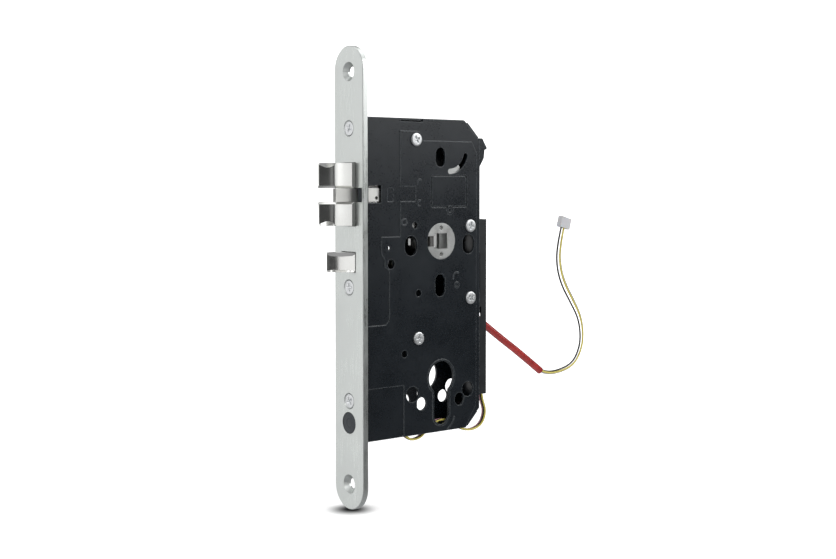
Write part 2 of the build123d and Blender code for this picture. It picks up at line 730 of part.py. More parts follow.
with BuildPart() as privacy_lever:
    with BuildSketch(at_y(-INNER + 0.15)):
        with Locations(PRIVACY_PIVOT):
            Circle(3.4)
        add(PRIVACY_ARC)
        arm_end = [(ARC_SLOT_R * cos(radians(a)), ARC_SLOT_R * sin(radians(a))) for a in (-88, -64)]
        outline([
            (PRIVACY_PIVOT[0] - 2.4, PRIVACY_PIVOT[1]),
            (PRIVACY_PIVOT[0] + arm_end[0][0], PRIVACY_PIVOT[1] + arm_end[0][1]),
            (PRIVACY_PIVOT[0] + arm_end[1][0], PRIVACY_PIVOT[1] + arm_end[1][1]),
            (PRIVACY_PIVOT[0] + 2.4, PRIVACY_PIVOT[1]),
        ])
        with Locations(PRIVACY_PIVOT):
            Circle(PIVOT_R + FIT, mode=Mode.SUBTRACT)
    extrude(amount=-1.5)
save(privacy_lever, "privacy_lever")


# ---------------------------------------------------------------- clutch drive
def gear_points(teeth, centre_x):
    """Plan-view outline of a small spur gear about a point on the X axis."""
    pitch_r = GEAR_MODULE * teeth / 2
    tip_r = pitch_r + 0.8 * GEAR_MODULE
    root_r = pitch_r - 1.1 * GEAR_MODULE
    step = 360 / teeth
    points = []
    for tooth in range(teeth):
        for radius, share in ((root_r, -0.33), (tip_r, -0.13), (tip_r, 0.13), (root_r, 0.33)):
            angle = radians((tooth + share) * step)
            points.append((centre_x + radius * cos(angle), radius * sin(angle)))
    return points


with BuildPart() as motor:
    with BuildSketch(at_z(-44.0)):
        with Locations((MOTOR_X, 0)):
            Circle(5.0)
            Rectangle(12.0, 8.0, mode=Mode.INTERSECT)
    extrude(amount=15.5)
    with BuildSketch(at_z(-28.5)):
        with Locations((MOTOR_X, 0)):
            Circle(1.9)
    extrude(amount=0.9)
    with BuildSketch(at_z(-34.0)):
        with Locations((MOTOR_X, 0)):
            Circle(0.8)
    extrude(amount=8.0, mode=Mode.SUBTRACT)
save(motor, "motor")

with BuildPart() as motor_pinion:
    with BuildSketch(at_z(GEAR_LOW)):
        outline(gear_points(PINION_TEETH, MOTOR_X))
    extrude(amount=GEAR_THICK)
    with BuildSketch(at_z(-33.5)):
        with Locations((MOTOR_X, 0)):
            Circle(0.75)
    extrude(amount=GEAR_LOW + GEAR_THICK + 34.0)
save(motor_pinion, "motor_pinion")

with BuildPart() as drive_screw:
    with BuildSketch(at_z(GEAR_LOW)):
        outline([
            (SCREW_X + (x - SCREW_X) * cos(radians(9)) - y * sin(radians(9)),
             (x - SCREW_X) * sin(radians(9)) + y * cos(radians(9)))
            for x, y in gear_points(GEAR_TEETH, SCREW_X)
        ])
    extrude(amount=GEAR_THICK)
    with BuildSketch(at_z(-27.3)):
        with Locations((SCREW_X, 0)):
            Circle(1.4)
    extrude(amount=26.6)
save(drive_screw, "drive_screw")

with BuildPart() as drive_bracket:
    with BuildSketch(at_y(5.5)):
        with Locations((19.75, -24.4)):
            Rectangle(20.5, 43.0)
    extrude(amount=-0.75)
    with BuildSketch(at_z(-27.5)):
        with Locations((19.75, 0.1)):
            Rectangle(20.5, 11.2)
        with Locations((MOTOR_X, 0)):
            Circle(2.0, mode=Mode.SUBTRACT)
        with Locations((SCREW_X, 0)):
            Circle(1.4 + FIT, mode=Mode.SUBTRACT)
    extrude(amount=1.0)
    with BuildSketch(at_z(-3.9)):
        with Locations((SCREW_X, 1.4)):
            Rectangle(7.0, 8.4)
        with Locations((SCREW_X, 0)):
            Circle(1.4 + FIT, mode=Mode.SUBTRACT)
    extrude(amount=1.0)
save(drive_bracket, "drive_bracket")

with BuildPart() as clutch_slider:
    with BuildSketch(at_z(-16.0)):
        with Locations((SCREW_X, 0.9)):
            Rectangle(6.0, 7.8)
        with Locations((SCREW_X, 0)):
            Circle(1.4 + FIT, mode=Mode.SUBTRACT)
    extrude(amount=6.0)
    with BuildSketch(at_y(3.2)):
        outline([
            (26.9, -16.0), (26.9, -12.5), (44.0, -3.5), (44.6, 8.2), (47.2, 8.2),
            (47.8, -4.0), (46.0, -7.5),
        ])
        add(SHOE_ARC)
    extrude(amount=-1.6)
save(clutch_slider, "clutch_slider")

with BuildPart() as circuit_board:
    with BuildSketch(at_y(4.7)):
        with Locations((51.0, -29.0)):
            Rectangle(18.0, 27.0)
    extrude(amount=-1.0)
save(circuit_board, "circuit_board")

with BuildPart() as board_components:
    with BuildSketch(at_y(3.3)):
        with Locations((48.5, -24.0)):
            Rectangle(7.0, 7.0)
        with Locations((55.8, -22.0)):
            Rectangle(2.6, 5.0)
        with Locations((47.0, -35.5)):
            Rectangle(5.0, 4.0)
        with Locations((54.5, -37.5)):
            Rectangle(6.0, 4.5)
        with Locations((54.6, -30.3)):
            Circle(1.8)
    extrude(amount=-1.4)
save(board_components, "board_components")

# Snap-action switches report the latch, the auxiliary latch and the handle.
with BuildPart() as position_switches:
    with BuildSketch(at_y(1.2)):
        for spot in ((66.0, 54.5), (16.2, 18.6), (70.0, 5.6)):
            with Locations(spot):
                Rectangle(8.0, 5.4)
    extrude(amount=-(INNER - 1.3))
save(position_switches, "position_switches")


# ---------------------------------------------------------------- wires
def tube(name, points, outside, inside=0.0):
    """A round tube or wire along straight runs joined by large tangent arcs."""
    radii = tube_path(points)
    with BuildPart() as run:
        with BuildLine():
            path = FilletPolyline(*points, radius=radii)
        with BuildSketch(Plane(origin=path @ 0, z_dir=path % 0)):
            Circle(outside / 2)
            if inside:
                Circle(inside / 2, mode=Mode.SUBTRACT)
        sweep(path=path)
    section = pi * (outside ** 2 - inside ** 2) / 4
    print(name, "length", round(path.length, 1), "radii", [round(r, 1) for r in radii],
          "volume ratio", round(run.part.volume / (section * path.length), 4))
    save(run, name)


# The lead leaves through the rear wall, drops in its sleeve and rises to the plug.
SLEEVE_ROUTE = [(81.0, 0.0, -23.4), (99.0, 0.0, -35.9), (116.0, 0.0, -46.9), (132.4, 0.0, -58.5)]
FREE_ROUTE = [
    (140.0, 0.0, -60.6), (149.0, 0.0, -60.0), (158.0, 0.0, -57.6), (163.6, 0.0, -52.4), (167.2, 0.0, -43.2),
    (165.4, 0.0, -30.4), (158.4, 0.0, -19.8), (151.2, 0.0, -9.6), (147.4, 0.0, 0.4),
    (147.2, 0.0, 11.4), (150.4, 0.0, 22.6),
]
tube("red_sleeve", SLEEVE_ROUTE, SLEEVE_D, SLEEVE_BORE)

WIRES = {
    "wire_yellow": (0.0, -0.62),
    "wire_black": (0.95, 0.4),
    "wire_white": (-0.95, 0.4),
}
# how far apart the wires run at each point of the route
SPREAD = [0.7, 0.7, 0.7, 0.7, 0.7, 0.8, 0.9, 1.0, 1.2, 1.4, 1.6, 1.7, 1.6, 1.4, 1.2]


def shifted(points, sideways, along_y):
    """The same route moved sideways in the lead's plane and across it."""
    moved = []
    for index, point in enumerate(points):
        before = Vector(*points[max(index - 1, 0)])
        after = Vector(*points[min(index + 1, len(points) - 1)])
        forward = (after - before).normalized()
        across = sideways * SPREAD[index]
        moved.append((
            point[0] - forward.Z * across, point[1] + along_y, point[2] + forward.X * across,
        ))
    return moved


for wire_name, (sideways, along_y) in WIRES.items():
    tube(wire_name, shifted(SLEEVE_ROUTE + FREE_ROUTE, sideways, along_y), WIRE_D)

with BuildPart() as lead_connector:
    end = Vector(*FREE_ROUTE[-1])
    heading = (end - Vector(*FREE_ROUTE[-2])).normalized()
    with BuildSketch(Plane(origin=end + heading * 0.02, x_dir=(0, 1, 0), z_dir=heading)):
        RectangleRounded(3.4, 8.0, 0.4)
    extrude(amount=6.2)
save(lead_connector, "lead_connector")

# Sensor leads run from the guard round the lower corner and along the case's floor.
SENSOR_ROUTE = [
    (82.2, -60.0), (83.4, -68.5), (86.2, -76.0), (83.6, -82.6), (77.0, -85.2),
    (70.0, -84.2), (63.8, -81.0), (57.6, -77.2), (50.8, -77.4), (44.8, -81.2),
    (39.8, -85.2), (33.8, -85.8), (28.6, -82.2), (24.4, -76.8), (18.6, -73.2),
]
SENSOR_WIRES = {
    "sensor_wire_yellow": (-5.0, 0.0),
    "sensor_wire_black": (-3.9, -0.2),
    "sensor_wire_pink": (-2.8, -0.1),
}
for sensor_name, (y, drop) in SENSOR_WIRES.items():
    tube(sensor_name, [(x, y, z + drop) for x, z in SENSOR_ROUTE], WIRE_D)
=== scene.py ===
import math

import bmesh
import bpy
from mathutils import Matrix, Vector


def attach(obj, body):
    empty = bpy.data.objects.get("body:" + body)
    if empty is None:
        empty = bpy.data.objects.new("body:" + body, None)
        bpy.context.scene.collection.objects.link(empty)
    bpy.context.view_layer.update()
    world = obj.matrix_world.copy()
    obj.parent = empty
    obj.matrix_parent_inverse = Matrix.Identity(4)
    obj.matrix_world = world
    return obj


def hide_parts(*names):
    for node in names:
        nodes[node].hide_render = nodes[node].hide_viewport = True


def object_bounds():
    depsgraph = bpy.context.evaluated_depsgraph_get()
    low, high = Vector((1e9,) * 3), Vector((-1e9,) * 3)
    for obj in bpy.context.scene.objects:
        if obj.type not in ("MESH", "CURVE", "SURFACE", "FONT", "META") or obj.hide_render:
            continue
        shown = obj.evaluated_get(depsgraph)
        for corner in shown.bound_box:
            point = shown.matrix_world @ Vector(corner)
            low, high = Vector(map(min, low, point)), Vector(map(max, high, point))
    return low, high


# Mortise lock with a motor clutch: materials, polished latch pieces, cords and studio.
# X runs into the door, Y across its thickness, Z up; metres; the origin is the middle of
# the forend's back face.

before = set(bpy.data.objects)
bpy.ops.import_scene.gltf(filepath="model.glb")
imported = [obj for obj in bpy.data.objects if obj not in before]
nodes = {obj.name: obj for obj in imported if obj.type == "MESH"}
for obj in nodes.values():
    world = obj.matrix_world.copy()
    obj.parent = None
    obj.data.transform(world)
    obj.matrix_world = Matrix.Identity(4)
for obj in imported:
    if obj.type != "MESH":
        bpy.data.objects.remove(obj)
cad_low, cad_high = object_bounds()
scene = bpy.context.scene

MM = 0.001


# ------------------------------------------------------------------ camera
CAMERA_PLACE = (-0.41058, -0.55174, 0.04911)
CAMERA_TURN = 39.38            # degrees to the right of straight along +Y
CAMERA_DIP = 2.528             # degrees below level
CAMERA_LENS = 58.47
CAMERA_SHIFT = -0.045

lens = bpy.data.cameras.new("camera")
lens.lens = CAMERA_LENS
lens.sensor_width = 36.0
lens.shift_y = CAMERA_SHIFT
camera = bpy.data.objects.new("camera", lens)
camera.location = CAMERA_PLACE
camera.rotation_euler = (math.radians(90 - CAMERA_DIP), 0, math.radians(-CAMERA_TURN))
scene.collection.objects.link(camera)
scene.camera = camera
scene.view_settings.view_transform = "Standard"


# ------------------------------------------------------------------ studio
FLOOR_GAP = 0.0002
FLOOR_Z = cad_low[2] - FLOOR_GAP
AIM = Vector((0.03, 0.0, 0.0))        # the lamps point here, near the middle of the lock
FOREND_MIDDLE_X = -0.0015
PAPER_NEAR, PAPER_FAR = -2.6, 1.6     # where the flat floor starts and where it turns up
PAPER_HALF = 3.5
COVE_RADIUS = 0.9
COVE_TURNS = 14
BACKDROP_TOP = 3.0


def softbox(name, side, height, distance, size, strength):
    """A soft rectangular lamp. Side is in degrees from -Y toward -X, height in degrees up."""
    lamp = bpy.data.lights.new(name, "AREA")
    lamp.shape = "RECTANGLE"
    lamp.size, lamp.size_y = size
    lamp.energy = strength * 4 * size[0] * size[1]
    holder = bpy.data.objects.new(name, lamp)
    side, height = math.radians(side), math.radians(height)
    out = Vector((-math.sin(side) * math.cos(height), -math.cos(side) * math.cos(height), math.sin(height)))
    holder.location = AIM + out * distance
    holder.rotation_euler = (-out).to_track_quat("-Z", "Y").to_euler()
    scene.collection.objects.link(holder)


def backdrop_material():
    """White paper that is a little lit from within, so that only the contact shadow shows; that contact
    shadow is painted into its colour and glow under the forend's end.
    """
    paper = bpy.data.materials.new("white_paper")
    paper.use_nodes = True
    nodes_in = paper.node_tree.nodes
    shader = nodes_in["Principled BSDF"]
    shader.inputs["Roughness"].default_value = 1.0
    shader.inputs["Specular IOR Level"].default_value = 0.0
    shader.inputs["Emission Color"].default_value = (1, 1, 1, 1)
    place = nodes_in.new("ShaderNodeTexCoord")
    reach = nodes_in.new("ShaderNodeVectorMath")
    reach.operation = "LENGTH"
    glow = nodes_in.new("ShaderNodeMapRange")
    for socket, value in (("From Min", 0.12), ("From Max", 0.8), ("To Min", 0.5), ("To Max", 1.0)):
        glow.inputs[socket].default_value = value
    links = paper.node_tree.links
    links.new(place.outputs["Object"], reach.inputs[0])
    links.new(reach.outputs["Value"], glow.inputs["Value"])
    # painted contact shadow: the paper's colour and glow are darkest right under the forend's end
    foot = nodes_in.new("ShaderNodeVectorMath")
    foot.operation = "DISTANCE"
    foot.inputs[1].default_value = (FOREND_MIDDLE_X, 0, FLOOR_Z)
    painted_shadow_mask = nodes_in.new("ShaderNodeMapRange")
    painted_shadow_mask.interpolation_type = "SMOOTHSTEP"
    for socket, value in (("From Min", 0.002), ("From Max", 0.0155), ("To Min", 0.0), ("To Max", 1.0)):
        painted_shadow_mask.inputs[socket].default_value = value
    painted_shadow_colour = nodes_in.new("ShaderNodeMix")
    painted_shadow_colour.data_type = "RGBA"
    painted_shadow_colour.inputs[6].default_value = (0.03, 0.03, 0.03, 1)
    painted_shadow_colour.inputs[7].default_value = (0.62, 0.62, 0.62, 1)
    # painted shadow: the paper's glow is dimmed under the forend's end as well
    dim = nodes_in.new("ShaderNodeMath")
    dim.operation = "MULTIPLY"
    links.new(place.outputs["Object"], foot.inputs[0])
    links.new(foot.outputs["Value"], painted_shadow_mask.inputs["Value"])
    links.new(painted_shadow_mask.outputs["Result"], painted_shadow_colour.inputs["Factor"])
    links.new(painted_shadow_colour.outputs[2], shader.inputs["Base Color"])
    links.new(glow.outputs["Result"], dim.inputs[0])
    links.new(painted_shadow_mask.outputs["Result"], dim.inputs[1])
    links.new(dim.outputs[0], shader.inputs["Emission Strength"])
    return paper


def build_studio():
    """A white floor that curves up into a backdrop, dim surroundings and soft lamps."""
    world = bpy.data.worlds.new("studio")
    world.use_nodes = True
    surround = world.node_tree
    heading = surround.nodes.new("ShaderNodeTexCoord")
    split = surround.nodes.new("ShaderNodeSeparateXYZ")
    ramp = surround.nodes.new("ShaderNodeValToRGB")
    lift = surround.nodes.new("ShaderNodeMapRange")
    lift.inputs["From Min"].default_value = -1.0
    surround.links.new(heading.outputs["Generated"], split.inputs[0])
    surround.links.new(split.outputs["Z"], lift.inputs["Value"])
    surround.links.new(lift.outputs["Result"], ramp.inputs["Fac"])
    surround.links.new(ramp.outputs["Color"], surround.nodes["Background"].inputs["Color"])
    stops = ramp.color_ramp.elements
    stops[0].position, stops[0].color = 0.0, (0.42, 0.42, 0.43, 1)
    stops[1].position, stops[1].color = 1.0, (0.5, 0.5, 0.5, 1)
    for position, grey in ((0.32, 0.26), (0.46, 0.055), (0.55, 0.06), (0.8, 0.34)):
        stops.new(position).color = (grey, grey * 1.01, grey * 1.02, 1)
    # the camera sees plain white, while the pieces reflect the dim surroundings
    white = surround.nodes.new("ShaderNodeBackground")
    white.inputs["Color"].default_value = (1, 1, 1, 1)
    path = surround.nodes.new("ShaderNodeLightPath")
    either = surround.nodes.new("ShaderNodeMixShader")
    surround.links.new(path.outputs["Is Camera Ray"], either.inputs[0])
    surround.links.new(surround.nodes["Background"].outputs[0], either.inputs[1])
    surround.links.new(white.outputs[0], either.inputs[2])
    surround.links.new(either.outputs[0], surround.nodes["World Output"].inputs["Surface"])
    scene.world = world
    softbox("left_softbox", 104, 8, 1.25, (2.7, 1.7), 0.77)
    softbox("left_core", 80, 16, 1.2, (0.4, 0.6), 0.45)
    softbox("right_softbox", -42, 24, 1.5, (1.3, 0.85), 2.5)
    softbox("fill", 38, 2, 1.5, (0.3, 1.2), 0.12)
    softbox("overhead", -80, 82, 1.3, (1.5, 1.5), 1.0)
    cove = bmesh.new()
    profile = [(PAPER_NEAR, 0.0), (PAPER_FAR, 0.0)]
    for step in range(1, COVE_TURNS + 1):
        angle = math.radians(90 * step / COVE_TURNS)
        profile.append((
            PAPER_FAR + COVE_RADIUS * math.sin(angle), COVE_RADIUS - COVE_RADIUS * math.cos(angle)
        ))
    profile.append((PAPER_FAR + COVE_RADIUS, BACKDROP_TOP))
    look = math.radians(CAMERA_TURN)
    ahead = Vector((math.sin(look), math.cos(look), 0))
    across = Vector((ahead.y, -ahead.x, 0))
    rows = []
    for reach, rise in profile:
        row = [
            cove.verts.new(ahead * reach + across * offset + Vector((0, 0, FLOOR_Z + rise)))
            for offset in (-PAPER_HALF, 0.0, PAPER_HALF)
        ]
        rows.append(row)
    for low, high in zip(rows, rows[1:]):
        for step in range(2):
            cove.faces.new((low[step], low[step + 1], high[step + 1], high[step]))
    mesh = bpy.data.meshes.new("paper")
    cove.to_mesh(mesh)
    cove.free()
    mesh.shade_smooth()
    mesh.materials.append(backdrop_material())
    paper = bpy.data.objects.new("paper", mesh)
    paper.visible_glossy = False
    scene.collection.objects.link(paper)


build_studio()


# ------------------------------------------------------------------ materials
class Finish:
    """A procedural material being wired together, with object coordinates in metres."""

    def __init__(self, name):
        self.material = bpy.data.materials.new(name)
        self.material.use_nodes = True
        self.tree = self.material.node_tree
        self.shader = self.tree.nodes["Principled BSDF"]
        self.place = self.tree.nodes.new("ShaderNodeTexCoord")

    def node(self, kind, links=(), values=(), **settings):
        made = self.tree.nodes.new("ShaderNode" + kind)
        for key, value in settings.items():
            setattr(made, key, value)
        for socket, value in values:
            made.inputs[socket].default_value = value
        for socket, source in links:
            self.tree.links.new(source, made.inputs[socket])
        return made

    def noise(self, scale, stretch=(1, 1, 1), detail=4.0, roughness=0.6):
        """Noise about 1/scale metres wide; a small stretch draws it out along that axis."""
        mapping = self.node(
            "Mapping", [("Vector", self.place.outputs["Object"])], [("Scale", stretch)]
        )
        made = self.node(
            "TexNoise", [("Vector", mapping.outputs[0])],
            [("Scale", scale), ("Detail", detail), ("Roughness", roughness)],
        )
        return made.outputs["Fac"]

    def spread(self, source, low, high, start=0.3, end=0.7):
        """The source between start and end, spread out from low to high."""
        return self.node(
            "MapRange", [("Value", source)],
            [("From Min", start), ("From Max", end), ("To Min", low), ("To Max", high)],
        ).outputs["Result"]

    def sum(self, first, second, operation="ADD"):
        return self.node("Math", [(0, first), (1, second)], operation=operation).outputs[0]

    def blend(self, factor, dark, light):
        """A colour between two constants or sources."""
        made = self.node("Mix", [("Factor", factor)], data_type="RGBA")
        for socket, value in ((6, dark), (7, light)):
            if isinstance(value, tuple):
                made.inputs[socket].default_value = (*value, 1)
            else:
                self.tree.links.new(value, made.inputs[socket])
        return made.outputs[2]

    def edge_wear_and_highlight(self, width):
        """White near sharp edges and black on the flats: the mask for rubbed edges and for a painted
        highlight line along them.
        """
        soft = self.node("Bevel", (), [("Radius", width)], samples=4)
        plain = self.node("NewGeometry")
        along = self.node(
            "VectorMath", [(0, soft.outputs[0]), (1, plain.outputs["Normal"])],
            operation="DOT_PRODUCT",
        ).outputs["Value"]
        return self.spread(along, 1.0, 0.0, 0.86, 0.995)

    def finish(self, colour, roughness, height, metallic=0.0, bump=0.3, depth=0.00002,
               round_edges=0.00018, **values):
        """Connects the maps and the softened edges, and sets the constants."""
        links = self.tree.links
        links.new(colour, self.shader.inputs["Base Color"])
        links.new(roughness, self.shader.inputs["Roughness"])
        rounded = self.node("Bevel", (), [("Radius", round_edges)], samples=4)
        relief = self.node(
            "Bump", [("Height", height), ("Normal", rounded.outputs[0])],
            [("Strength", bump), ("Distance", depth)],
        )
        links.new(relief.outputs[0], self.shader.inputs["Normal"])
        self.shader.inputs["Metallic"].default_value = metallic
        for key, value in values.items():
            self.shader.inputs[key.replace("_", " ")].default_value = value
        return self.material


def brushed(name, dark, light, rough, grain=(1, 1, 0.03), fineness=2600, bump=0.22, edge_wear_and_highlight=0.35, **more):
    """Metal with a drawn grain, cloudy tone, and edges rubbed brighter, which is also a painted edge
    highlight.
    """
    f = Finish(name)
    lines = f.noise(fineness, grain, 3.0)
    clouds = f.noise(55, detail=5.0)
    specks = f.noise(900, detail=2.0)
    tone = f.sum(f.spread(clouds, -0.25, 0.45), f.spread(lines, 0.15, 0.55))
    body = f.blend(tone, dark, light)
    # edges lighter in random patches: rubbed metal and a painted edge highlight
    rubbed = f.sum(f.edge_wear_and_highlight(0.0004), f.spread(specks, 0.0, edge_wear_and_highlight), "MULTIPLY")
    bright = tuple(min(1.0, c * 1.25) for c in light)
    colour = f.blend(rubbed, body, bright)
    roughness = f.sum(
        f.spread(lines, rough * 0.72, rough * 1.15), f.spread(clouds, -0.03, 0.06)
    )
    return f.finish(colour, roughness, lines, metallic=1.0, bump=bump, **more)


def polished(name, dark, light, rough, fineness=1500, bump=0.06, **more):
    """Plated metal with fine cross scratches and handling haze."""
    f = Finish(name)
    first = f.noise(fineness, (1, 1, 0.05), 2.0)
    second = f.noise(fineness, (0.08, 0.08, 1), 2.0)
    haze = f.noise(90, detail=3.0, roughness=0.45)
    scratches = f.sum(f.spread(first, 0, 1, 0.62, 0.72), f.spread(second, 0, 1, 0.64, 0.74))
    colour = f.blend(f.spread(haze, 0.2, 0.8), dark, light)
    roughness = f.sum(f.spread(haze, rough * 0.85, rough * 1.2), f.spread(scratches, 0, 0.05, 0, 1))
    return f.finish(colour, roughness, scratches, metallic=1.0, bump=bump, depth=0.00001, **more)


def cast(name, dark, light, rough, fineness=1800, bump=0.5, **more):
    """Cast metal: a pebbled skin with duller hollows."""
    f = Finish(name)
    pebbles = f.noise(fineness, detail=6.0)
    clouds = f.noise(160, detail=4.0)
    colour = f.blend(f.sum(f.spread(pebbles, 0, 0.6), f.spread(clouds, -0.1, 0.5)), dark, light)
    roughness = f.sum(f.spread(pebbles, rough * 0.8, rough * 1.2), f.spread(clouds, -0.05, 0.08))
    return f.finish(colour, roughness, pebbles, metallic=1.0, bump=bump, **more)


def coated(name, dark, light, rough, metal=(0.13, 0.145, 0.155), fineness=900, bump=0.035, edge_wear_and_highlight=0.3,
           **more):
    """A baked coat: a faint orange peel, mottled sheen, and metal at rubbed edges, which is also a painted
    highlight line along the edges and panel steps.
    """
    f = Finish(name)
    peel = f.noise(fineness, detail=2.0)
    clouds = f.noise(38, detail=6.0, roughness=0.65)
    specks = f.noise(1100, detail=3.0)
    body = f.blend(f.spread(clouds, 0, 1, 0.35, 0.65), dark, light)
    # painted highlight and wear: the edges take the metal colour, both as rubbed coat and as a light line
    # painted along the steps and folds
    rubbed = f.sum(f.edge_wear_and_highlight(0.0006), f.spread(specks, edge_wear_and_highlight * 0.5, edge_wear_and_highlight, 0.4, 0.6), "MULTIPLY")
    colour = f.blend(rubbed, body, metal)
    roughness = f.sum(
        f.spread(clouds, rough * 0.85, rough * 1.15), f.spread(specks, -0.03, 0.05)
    )
    return f.finish(colour, roughness, peel, bump=bump, **more)


def moulded(name, dark, light, rough, fineness=3000, bump=0.15, **more):
    """Moulded plastic with a fine spark-eroded texture and uneven sheen."""
    f = Finish(name)
    grain = f.noise(fineness, detail=3.0)
    clouds = f.noise(210, detail=4.0)
    colour = f.blend(f.sum(f.spread(clouds, 0, 0.7), f.spread(grain, -0.1, 0.3)), dark, light)
    roughness = f.sum(f.spread(grain, rough * 0.85, rough * 1.15), f.spread(clouds, -0.04, 0.06))
    return f.finish(colour, roughness, grain, bump=bump, **more)


def insulation(name, dark, light, rough=0.34, **more):
    """Extruded wire cover: slow waves, faint scuffs and a waxy sheen."""
    f = Finish(name)
    waves = f.noise(700, detail=3.0)
    scuffs = f.noise(2600, (1, 1, 0.3), 2.0)
    colour = f.blend(f.sum(f.spread(waves, 0, 0.8), f.spread(scuffs, -0.1, 0.2)), dark, light)
    roughness = f.sum(f.spread(waves, rough * 0.8, rough * 1.25), f.spread(scuffs, 0, 0.08))
    return f.finish(colour, roughness, waves, bump=0.2, round_edges=0.00005, **more)


def shrink(name, dark, light):
    """Heat-shrink tube: glossy, with the wires' ridges and small wrinkles showing through."""
    f = Finish(name)
    ridges = f.noise(420, (0.35, 1.0, 0.5), 3.0)
    wrinkles = f.noise(1300, (1, 0.4, 1), 2.0)
    shape = f.sum(ridges, f.spread(wrinkles, 0, 0.25))
    colour = f.blend(f.spread(ridges, 0, 1), dark, light)
    roughness = f.sum(f.spread(wrinkles, 0.12, 0.24), f.spread(ridges, 0.0, 0.05))
    return f.finish(colour, roughness, shape, bump=0.8, depth=0.00035, round_edges=0.0001,
                    Coat_Weight=0.7, Coat_Roughness=0.12)


FINISHES = {
    "satin_steel": brushed("satin_steel", (0.665, 0.695, 0.675), (0.725, 0.75, 0.735), 0.33, bump=0.15),
    "zinc_screw": brushed(
        "zinc_screw", (0.74, 0.76, 0.77), (0.90, 0.91, 0.92), 0.46, (1, 1, 1), 1500
    ),
    "black_coat": coated(
        "black_coat", (0.003, 0.0055, 0.0085), (0.006, 0.0095, 0.0135), 0.29, edge_wear_and_highlight=0.9,
        round_edges=0.0005,
    ),
    "guard_plastic": moulded("guard_plastic", (0.004, 0.005, 0.0065), (0.009, 0.011, 0.013), 0.46),
    "dark_plastic": moulded("dark_plastic", (0.018, 0.022, 0.027), (0.036, 0.043, 0.05), 0.42),
    "polished_latch": polished("polished_latch", (0.70, 0.70, 0.68), (0.82, 0.83, 0.81), 0.17),
    "satin_latch": brushed(
        "satin_latch", (0.74, 0.74, 0.71), (0.84, 0.84, 0.81), 0.5, (0.2, 1, 1), 3000, bump=0.12
    ),
    "polished_aux": polished("polished_aux", (0.72, 0.72, 0.70), (0.84, 0.84, 0.82), 0.15),
    "stamped_steel": brushed(
        "stamped_steel", (0.5, 0.51, 0.5), (0.7, 0.71, 0.7), 0.36, (0.05, 1, 1), 1800
    ),
    "cast_zinc": cast("cast_zinc", (0.48, 0.49, 0.48), (0.66, 0.67, 0.66), 0.38),
    "bright_pin": brushed("bright_pin", (0.6, 0.6, 0.59), (0.8, 0.8, 0.79), 0.24, (1, 0.1, 1)),
    "clamp_steel": brushed("clamp_steel", (0.12, 0.12, 0.12), (0.28, 0.27, 0.26), 0.4),
    "spring_steel": brushed("spring_steel", (0.35, 0.35, 0.34), (0.55, 0.55, 0.54), 0.28),
    "motor_can": brushed("motor_can", (0.55, 0.55, 0.54), (0.7, 0.7, 0.68), 0.26),
    "gear_brass": brushed(
        "gear_brass", (0.60, 0.44, 0.18), (0.83, 0.66, 0.34), 0.27, (1, 0.1, 1), 1900
    ),
    "board_green": moulded("board_green", (0.010, 0.075, 0.03), (0.022, 0.13, 0.05), 0.28, 900),
    "component_black": moulded("component_black", (0.016, 0.016, 0.017), (0.035, 0.035, 0.036), 0.5),
    "sleeve_red": shrink("sleeve_red", (0.22, 0.009, 0.008), (0.36, 0.020, 0.017)),
    "insulation_yellow": insulation("insulation_yellow", (0.44, 0.37, 0.06), (0.60, 0.52, 0.11)),
    "insulation_black": insulation("insulation_black", (0.010, 0.010, 0.011), (0.03, 0.03, 0.03)),
    "insulation_white": insulation("insulation_white", (0.34, 0.33, 0.36), (0.46, 0.45, 0.47)),
    "insulation_pink": insulation("insulation_pink", (0.55, 0.26, 0.30), (0.72, 0.40, 0.43)),
    "connector_white": moulded(
        "connector_white", (0.42, 0.42, 0.44), (0.52, 0.52, 0.54), 0.42,
        Subsurface_Weight=0.15, Subsurface_Scale=0.001,
    ),
}

SLOT_NODES = {
    "satin_steel": ["forend_plate"],
    "black_coat": ["case_base", "case_frame", "case_cover", "rear_wedge"],
    "guard_plastic": ["rear_wire_guard"],
    "dark_plastic": ["latch_glide"],
    "satin_latch": ["counter_latch"],
    "stamped_steel": [
        "latch_tail", "deadlock_lever", "key_lever", "privacy_lever", "drive_bracket",
        "follower_cam", "clutch_slider", "tail_guide_pin", "cover_posts", "forend_blocks",
        "spring_stops",
    ],
    "cast_zinc": ["inner_follower_hub", "outer_follower_hub"],
    "bright_pin": ["pivot_pins", "follower_pins", "clutch_pin"],
    "clamp_steel": ["spindle_clamp"],
    "spring_steel": ["latch_spring", "counter_latch_spring", "aux_latch_spring", "follower_spring"],
    "motor_can": ["motor"],
    "gear_brass": ["motor_pinion", "drive_screw"],
    "board_green": ["circuit_board"],
    "component_black": ["board_components", "position_switches"],
    "insulation_yellow": ["sensor_wire_yellow"],
    "insulation_black": ["sensor_wire_black"],
    "insulation_pink": ["sensor_wire_pink"],
    "connector_white": ["lead_connector"],
}
for slot_name, node_names in SLOT_NODES.items():
    for node_name in node_names:
        mesh = nodes[node_name].data
        mesh.materials.clear()
        mesh.materials.append(FINISHES[slot_name])


